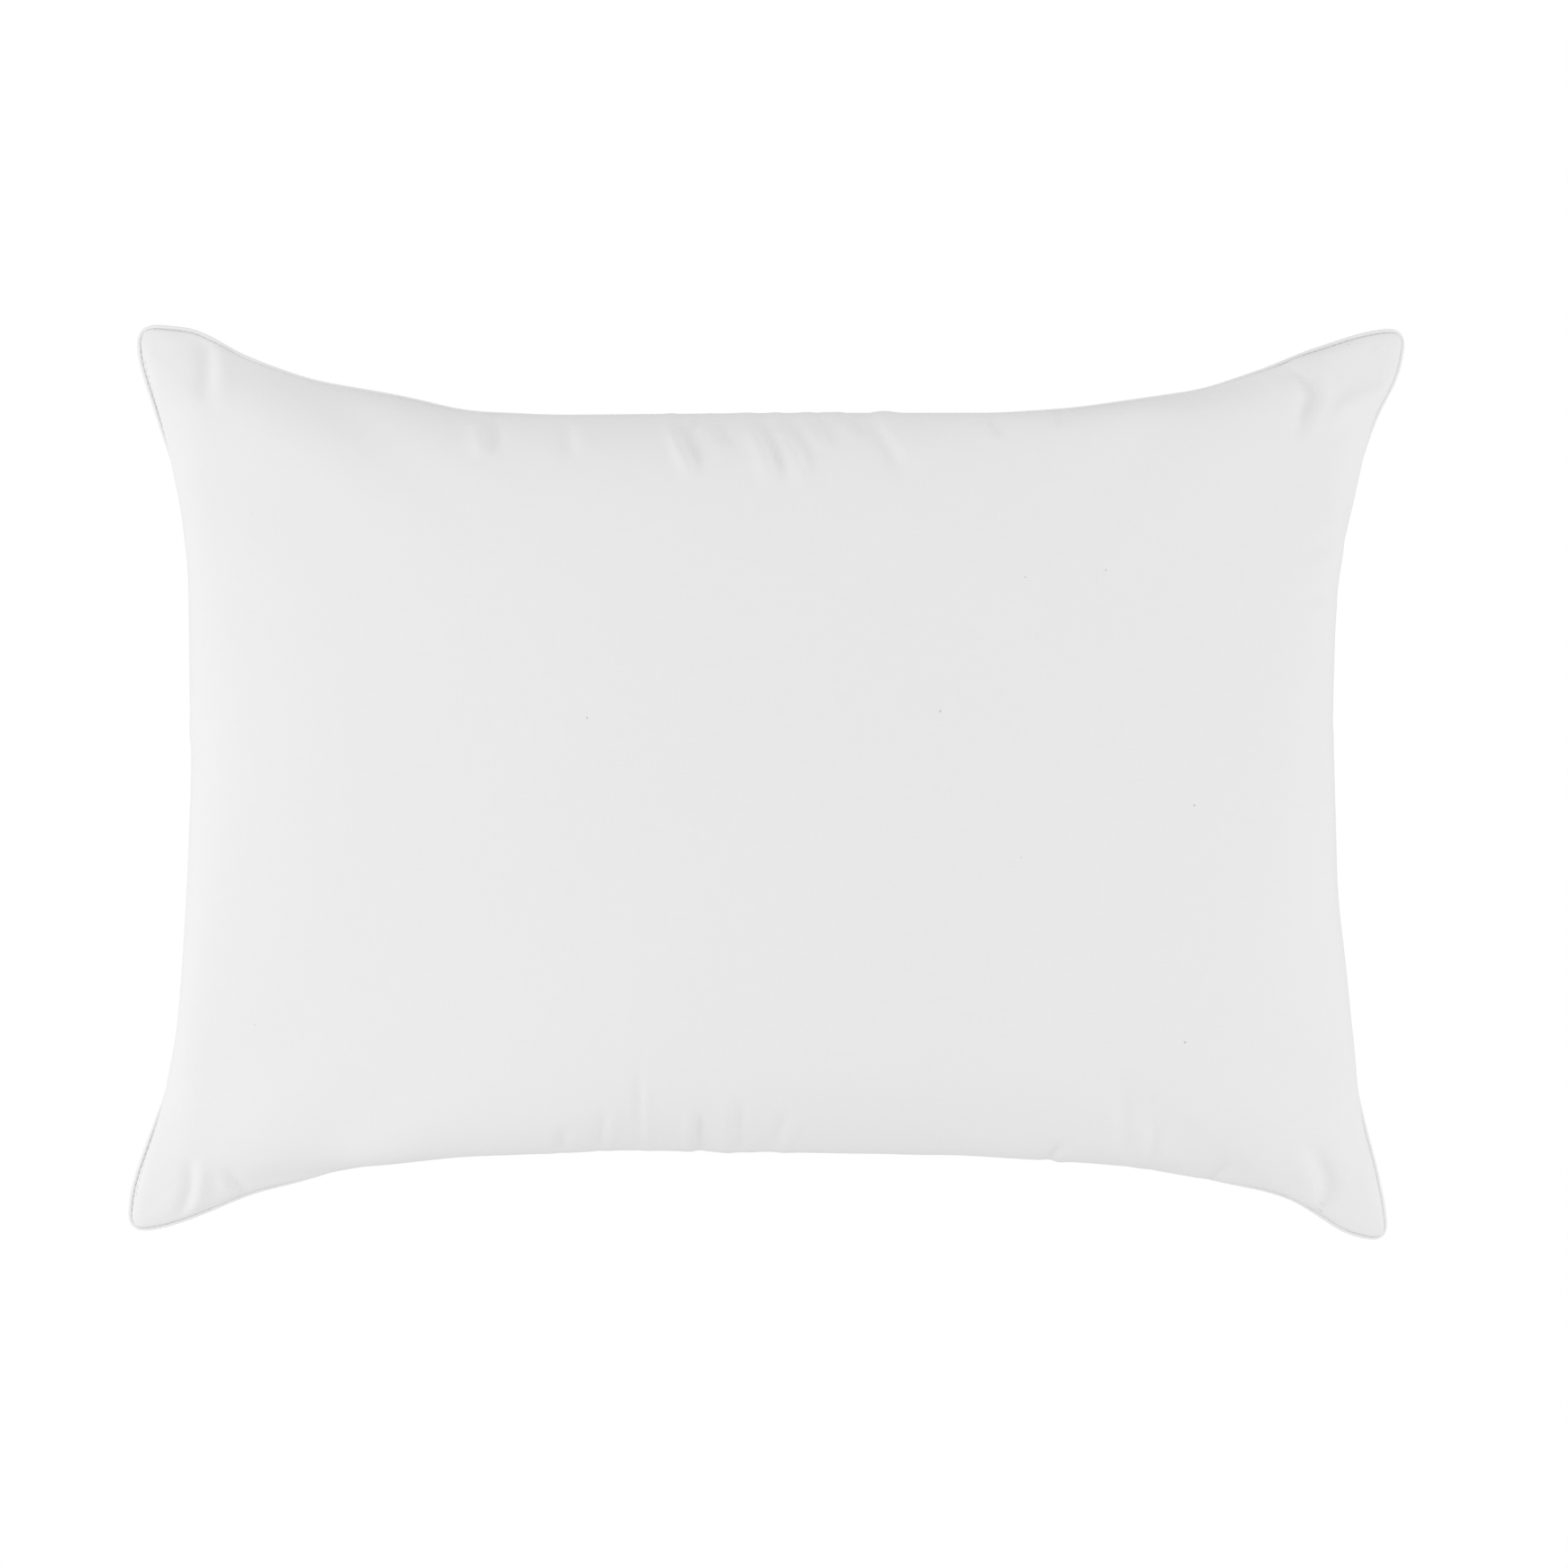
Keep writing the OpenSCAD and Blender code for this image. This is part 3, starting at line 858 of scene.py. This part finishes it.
def stripFaces(loopA, loopB):
    return np.column_stack([loopA, np.roll(loopA, -1), np.roll(loopB, -1), loopB]).tolist()


# A loop moved in from the seam, within the seam's own plane
def movedIn(loop, inset, up=0.0):
    return loop * [1 - inset / halfLength, 1 - inset / halfWidth, 1] + [0, 0, up]


panelCloth = {
    "thickness": 0.5 * mm,
    "innerStep": 4,       # cells of the outer face to one of the inner face
    "foldOver": 1.3,      # thicknesses that the fold over the seam takes up
    "allowanceGap": piping["strip"] + 0.05 * mm,    # half the gap between the two allowances
}

seam = loopOf((front + back) / 2)
seamCut = loopOf(flatCut)


# One panel: its outer face, the allowance that is turned inside, and its inner face with larger cells
def panelPiece(name, panel, way):
    step = panelCloth["innerStep"]
    thick = panelCloth["thickness"]
    gap = panelCloth["allowanceGap"]
    inner = lining(panel, way, thick)
    for row in (inner[0], inner[-1], inner[:, 0], inner[:, -1]):
        row[:, :2] *= 1 - thick / halfWidth
        row[:, 2] += way * thick * panelCloth["foldOver"]
    inner = inner[::step, ::step]
    edgeA = movedIn(seam, piping["allowance"], way * gap)
    edgeB = movedIn(seam, piping["allowance"], way * (gap + thick))
    outerIds = np.arange(panel[..., 0].size).reshape(panel.shape[:2])
    idsA = outerIds.size + np.arange(len(seam))
    idsB = idsA + len(seam)
    innerIds = idsB[-1] + 1 + np.arange(inner[..., 0].size).reshape(inner.shape[:2])
    points = np.concatenate([panel.reshape(-1, 3), edgeA, edgeB, inner.reshape(-1, 3)])
    inwardCut = seamCut * (1 + piping["allowance"] / (cut["width"] / 2))
    coarseCut = flatCut[::step, ::step].reshape(-1, 2)
    uvs = np.concatenate([flatCut.reshape(-1, 2), inwardCut, inwardCut, coarseCut])
    faces = gridFaces(outerIds) + [face[::-1] for face in gridFaces(innerIds)]
    smooth = len(faces)
    ring = loopOf(outerIds)
    faces += [face[::-1] for face in stripFaces(ring, idsA) + stripFaces(idsA, idsB)]
    coarse = loopOf(innerIds)
    nextCoarse = np.roll(coarse, -1)
    for k in range(step):     # a fan of small triangles from each large edge to the raw edge
        corner = coarse if k < step / 2 else nextCoarse
        here, there = (np.roll(idsB, -j)[::step] for j in (k, k + 1))
        faces += np.column_stack([corner, there, here]).tolist()
    faces += np.column_stack([coarse, nextCoarse, np.roll(idsB, -step // 2)[::step]]).tolist()
    if way < 0:
        faces = [face[::-1] for face in faces]
    return build(name, points, faces, uvs, percale, flat=len(faces) - smooth)


frontPanel = panelPiece("frontPanel", front, 1)
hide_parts("front_panel")
backPanel = panelPiece("backPanel", back, -1)
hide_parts("back_panel")
print("panels made")

# Piping


def distances(line):
    return np.concatenate([[0], np.cumsum(np.linalg.norm(np.diff(line, axis=0), axis=1))])


# A closed path at an even spacing
def resampled(path, spacing):
    closed = np.vstack([path, path[:1]])
    walked = distances(closed)
    count = 2 * round(walked[-1] / spacing / 2)
    at = np.linspace(0, walked[-1], count, endpoint=False)
    return np.column_stack([np.interp(at, walked, closed[:, k]) for k in range(3)]), at


# A section of (outwards, up) points swept round a closed path
def sweep(name, path, at, section, material):
    out = outwards(path)
    sides = len(section[0])
    middles = path + out * perSide(piping["out"], out) - perSide(piping["droop"], out) * [0, 0, 1]
    rings = middles[:, None] + section[..., :1] * out[:, None] + section[..., 1:] * np.array([0, 0, 1])
    ids = np.arange(len(path) * sides).reshape(len(path), sides)
    faces = ringFaces(ids, np.roll(ids, -1, 0))
    around = np.arange(sides) / sides * 2 * math.pi * piping["radius"]
    uvs = np.stack(np.broadcast_arrays(at[:, None], around[None]), -1).reshape(-1, 2)
    return build(name, rings.reshape(-1, 3), faces, uvs, material)


def circle(radius, sides):
    angle = np.arange(sides) * 2 * math.pi / sides
    return np.column_stack([radius * np.cos(angle), radius * np.sin(angle)])


path, at = resampled(seam, piping["pitch"] / 3)
for _ in range(6):
    path = (np.roll(path, 1, 0) + 2 * path + np.roll(path, -1, 0)) / 4
stitchWave = np.cos(at / piping["pitch"] * 2 * math.pi)


# The strip goes round the cord, and its two legs run into the seam
def coverSection():
    arc = np.radians(np.linspace(160, -160, 13))
    sections = []
    for wave in stitchWave:
        r = piping["radius"] * (1 + piping["ripple"] * wave)
        leg = piping["strip"]
        legs = [(-r - leg, -leg), (-r - leg, leg)]
        sections.append(np.vstack([np.column_stack([r * np.cos(arc), r * np.sin(arc)]), legs]))
    return np.array(sections)


pipingCover = sweep("pipingCover", path, at, coverSection(), biasTape)
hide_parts("piping_cover")
cordSection = np.repeat([circle(piping["cord"], 8)], len(path), 0)
pipingCord = sweep("pipingCord", path, at, cordSection[:, ::-1], cordTwist)
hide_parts("piping_cord")
print("piping swept")

# Threads, inside and outside the seam


# A section of (in from the seam, up) points along the whole seam or, with an end, only part of it
def seamSweep(section, first=0, last=None):
    inset = np.array([movedIn(path, a, b) for a, b in section])
    rings = np.swapaxes(inset, 0, 1)[first:last]
    closed = last is None
    count, sides = rings.shape[:2]
    ids = np.arange(count * sides).reshape(count, sides)
    here, there = (ids, np.roll(ids, -1, 0)) if closed else (ids[:-1], ids[1:])
    faces = np.stack([here, np.roll(here, -1, 1), np.roll(there, -1, 1), there], -1).reshape(-1, 4).tolist()
    if not closed:
        faces += [ids[0][::-1].tolist(), ids[-1].tolist()]
    return rings.reshape(-1, 3), faces, np.repeat(at[first:last], sides)


def joined(parts):
    points, faces, first = [], [], 0
    for partPoints, partFaces in parts:
        points.append(partPoints)
        faces += [[first + k for k in face] for face in partFaces]
        first += len(partPoints)
    return np.concatenate(points), faces


stitching = {
    "thread": 0.2 * mm,       # radius
    "lockstitchInset": 4.5 * mm,
    "topstitchInset": 3 * mm,
    "topstitch": 3 * mm,      # length of one
    "topstitchPitch": 4 * mm,
    "margin": 20 * mm,        # from the corners
    "overlockWidth": 4 * mm,
    "overlockThick": 0.3 * mm,
    "overlockLoose": 0.1 * mm,
    "sway": 0.12 * mm,        # of the topstitches, off their line
}


# A short thread through three points, thin at its two ends, where it goes into the cloth
def threadBit(a, b, c, radius, sides=6):
    centres = np.array([a, (a + b) / 2, b, (b + c) / 2, c])
    way = (c - a) / np.linalg.norm(c - a)
    across = np.cross(way, [0, 0, 1])
    across /= max(np.linalg.norm(across), 1e-9)
    over = np.cross(across, way)
    angle = np.arange(sides) * 2 * math.pi / sides
    ring = np.cos(angle)[:, None] * across + np.sin(angle)[:, None] * over
    sizes = radius * np.array([0.5, 0.95, 1, 0.95, 0.5])
    points = centres[:, None] + sizes[:, None, None] * ring
    ids = np.arange(len(centres) * sides).reshape(-1, sides)
    faces = ringFaces(ids[:-1], ids[1:]) + [ids[0].tolist(), ids[-1][::-1].tolist()]
    return points.reshape(-1, 3), faces


def makeSeamThread():
    parts = []
    r = stitching["thread"]
    height = panelCloth["allowanceGap"] + panelCloth["thickness"] + 2 * r
    topLeft = np.linalg.norm(path - front[0, -1], axis=1).argmin()
    square = r * np.array([(-1, -1), (-1, 1), (1, 1), (1, -1)])
    for up in (height, -height):
        points, faces, _ = seamSweep(square + [stitching["lockstitchInset"], up], 0, topLeft)
        parts.append((points, faces))
    step = 3              # points of the path in one stitch
    out = outwards(path)
    for up in (1, -1):
        for k in range(0, len(path) - step, step):
            where = [path[k], (path[k] + path[k + 1]) / 2, path[k + 1]]
            lift = out[k] * 0.05 * mm + np.array([0, 0, up * piping["lip"]])
            parts.append(threadBit(*(p + lift for p in where), r))
    points, faces = joined(parts)
    piece = build("seamThread", points, faces, points[:, :2], sewingThread)
    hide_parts("seam_thread")


# A point of a panel's outer face, with the way out of it
def onPanel(panel, normals, x, y):
    i = (x / cut["length"] + 0.5) * (panel.shape[0] - 1)
    j = (y / cut["width"] + 0.5) * (panel.shape[1] - 1)
    a, b = int(min(i, panel.shape[0] - 2)), int(min(j, panel.shape[1] - 2))
    f, g = i - a, j - b
    weights = ((1 - f) * (1 - g), f * (1 - g), (1 - f) * g, f * g)
    spots = ((a, b), (a + 1, b), (a, b + 1), (a + 1, b + 1))
    point = sum(w * panel[s] for w, s in zip(weights, spots))
    return point, sum(w * normals[s] for w, s in zip(weights, spots))


def makeClosingThread():
    parts = []
    x = -cut["length"] / 2 + stitching["topstitchInset"]
    reach = cut["width"] / 2 - stitching["margin"]
    pitch, long, r = stitching["topstitchPitch"], stitching["topstitch"], stitching["thread"]
    wander = np.random.default_rng(5)
    for panel, way in ((front, 1), (back, -1)):
        normals = gridNormals(panel) * way
        for y in np.arange(-reach, reach, pitch):
            sway = wander.normal(0, stitching["sway"])
            bit = []
            for share, up in ((0, -0.3), (0.5, 0.6), (1, -0.3)):
                point, normal = onPanel(panel, normals, x + sway, y + share * long)
                bit.append(point + normal * up * r)
            parts.append(threadBit(*bit, r))
    points, faces = joined(parts)
    piece = build("closingThread", points, faces, points[:, :2], sewingThread)
    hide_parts("closing_thread")


def makeOverlock():
    thick, loose = stitching["overlockThick"], stitching["overlockLoose"]
    inner = panelCloth["allowanceGap"] + panelCloth["thickness"] + loose
    outer = inner + thick
    edge = piping["allowance"] + loose
    start = piping["allowance"] - stitching["overlockWidth"]
    section = [(start, outer), (start, inner), (edge, inner), (edge, -inner),
               (start, -inner), (start, -outer), (edge + thick, -outer), (edge + thick, outer)]
    points, faces, walked = seamSweep(section)
    piece = build("overlockThread", points, faces, np.column_stack([walked, walked]), sewingThread)
    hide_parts("overlock_thread")


makeSeamThread()
makeClosingThread()
makeOverlock()
print("threads laid")

# Filling

stuffing = {
    "gap": 1.5 * mm,      # between it and the cloth
    "step": 4,
    "edge": 2,            # coarse cells that it stops short of the seam
}


def makeFilling():
    step, edge = stuffing["step"], stuffing["edge"]
    faces, layers, first = [], [], 0
    rings = []
    for panel, way in ((front, 1), (back, -1)):
        inside = lining(panel, way, panelCloth["thickness"] + stuffing["gap"])
        core = inside[::step, ::step][edge:-edge, edge:-edge]
        ids = first + np.arange(core[..., 0].size).reshape(core.shape[:2])
        faces += [face[::way] for face in gridFaces(ids)]
        rings.append(loopOf(ids))
        layers.append(core.reshape(-1, 3))
        first += ids.size
    faces += [face[::-1] for face in stripFaces(rings[0], rings[1])]
    points = np.concatenate(layers)
    piece = build("fluffFilling", points, faces, points[:, :2], fluff)
    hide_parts("filling")


makeFilling()
print("filling made")

# Care label: a blank ribbon, folded double and held in the closing seam

label = {
    "width": 28 * mm,
    "drop": 42 * mm,
    "thickness": 0.15 * mm,
    "offset": -84 * mm,   # of its middle along the seam
    "clear": 0.5 * mm,    # from the panel that it lies on
    "below": 0.2 * mm,    # the piping, where it comes out of the seam
    "slope": 1.2 * mm,    # that it can go sideways in one step down
    "gap": 0.35 * mm,     # between its two leaves
    "steps": 28,
    "across": 9,
}


def makeLabel():
    tree = BVHTree.FromObject(backPanel, bpy.context.evaluated_depsgraph_get())
    seamAtLabel = path[np.argmin(np.abs(path[:, 1] - label["offset"]) + (path[:, 0] > 0))]
    steps, across = label["steps"], label["across"]
    ys = label["offset"] + np.linspace(-0.5, 0.5, across) * label["width"]
    line = []             # the outer leaf from the seam down, and how far out it has to lie
    x, z = seamAtLabel[0] - piping["strip"], seamAtLabel[2] - piping["radius"] - label["below"]
    step, slope = label["drop"] / steps, label["slope"]
    for k in range(steps + 1):
        hits = []
        for y in ys:
            spot = tree.ray_cast(Vector((-1, y, z)), Vector((1, 0, 0)))[0]
            hits.append(spot[0] if spot else x)
        want = min(hits) - label["clear"] - 2 * label["thickness"]
        x = want if k == 0 else max(min(want, x + slope), x - slope)
        line.append((x, z))
        z -= math.sqrt(max(step ** 2 - (x - line[-2][0]) ** 2, 0)) if k else step
    line = np.array(line)
    gap = label["gap"]
    leaf = np.vstack([line, line[-1] + [[0.5 * gap, -0.6 * gap]], (line + [gap, 0])[::-1]])
    thick = label["thickness"]
    way = np.gradient(leaf, axis=0)
    normal = np.column_stack([-way[:, 1], way[:, 0]])
    normal /= np.linalg.norm(normal, axis=1)[:, None]
    layers, uvs = [], []
    for up in (0, thick):
        for spot, out, distance in zip(leaf, normal, distances(leaf)):
            for y in ys:
                layers.append((spot[0] + out[0] * up, y, spot[1] + out[1] * up))
                uvs.append((y, distance))
    count = len(leaf) * across
    ids = np.arange(count).reshape(len(leaf), across)
    faces = gridFaces(ids) + [face[::-1] for face in gridFaces(ids + count)]
    ring = loopOf(ids)
    faces += [face[::-1] for face in stripFaces(ring, ring + count)]
    piece = build("careLabel", layers, faces, uvs, ribbon)
    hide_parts("care_label")


makeLabel()
print("label hung")

# Light and floor

light = {
    "world": 0.93,
    "leftPower": 8.5,
    "rightPower": 5.5,
    "size": 1.2,
    "away": 2.0,
    "up": 0.7,
    "towards": 0.2,       # both boxes stand a little nearer than the pillow's middle
    "floor": 0.75,        # how much of the light the floor sends back up
}


def areaLight(name, place, power):
    data = bpy.data.lights.new(name, "AREA")
    data.energy = power
    data.size = light["size"]
    lamp = bpy.data.objects.new(name, data)
    lamp.location = place
    lamp.rotation_euler = (Vector((0, 0, 0.1)) - Vector(place)).to_track_quat("-Z", "Y").to_euler()
    scene.collection.objects.link(lamp)


def setLight():
    areaLight("leftBox", (-light["away"], -light["towards"], light["up"]), light["leftPower"])
    areaLight("rightBox", (light["away"], -light["towards"], light["up"]), light["rightPower"])
    world = bpy.data.worlds.new("studio")
    world.use_nodes = True
    background = world.node_tree.nodes["Background"]
    background.inputs["Color"].default_value = (1, 1, 1, 1)
    background.inputs["Strength"].default_value = light["world"]
    scene.world = world
    scene.view_settings.view_transform = "Standard"


def setFloor():
    mesh = bpy.data.meshes.new("floor")
    mesh.from_pydata([(-6, -6, 0), (6, -6, 0), (6, 6, 0), (-6, 6, 0)], [], [(0, 1, 2, 3)])
    material = bpy.data.materials.new("paleFloor")
    material.use_nodes = True
    nodes, links = material.node_tree.nodes, material.node_tree.links
    nodes.remove(nodes["Principled BSDF"])
    dull = nodes.new("ShaderNodeBsdfDiffuse")
    dull.inputs["Color"].default_value = (light["floor"],) * 3 + (1,)
    bright = nodes.new("ShaderNodeEmission")
    bright.inputs["Strength"].default_value = 1.0
    seen = nodes.new("ShaderNodeLightPath")
    mix = nodes.new("ShaderNodeMixShader")
    for k, output in enumerate((seen.outputs["Is Camera Ray"], dull.outputs[0], bright.outputs[0])):
        links.new(output, mix.inputs[k])
    links.new(mix.outputs[0], nodes["Material Output"].inputs["Surface"])
    mesh.materials.append(material)
    floor = bpy.data.objects.new("floor", mesh)
    scene.collection.objects.link(floor)


setLight()
setFloor()
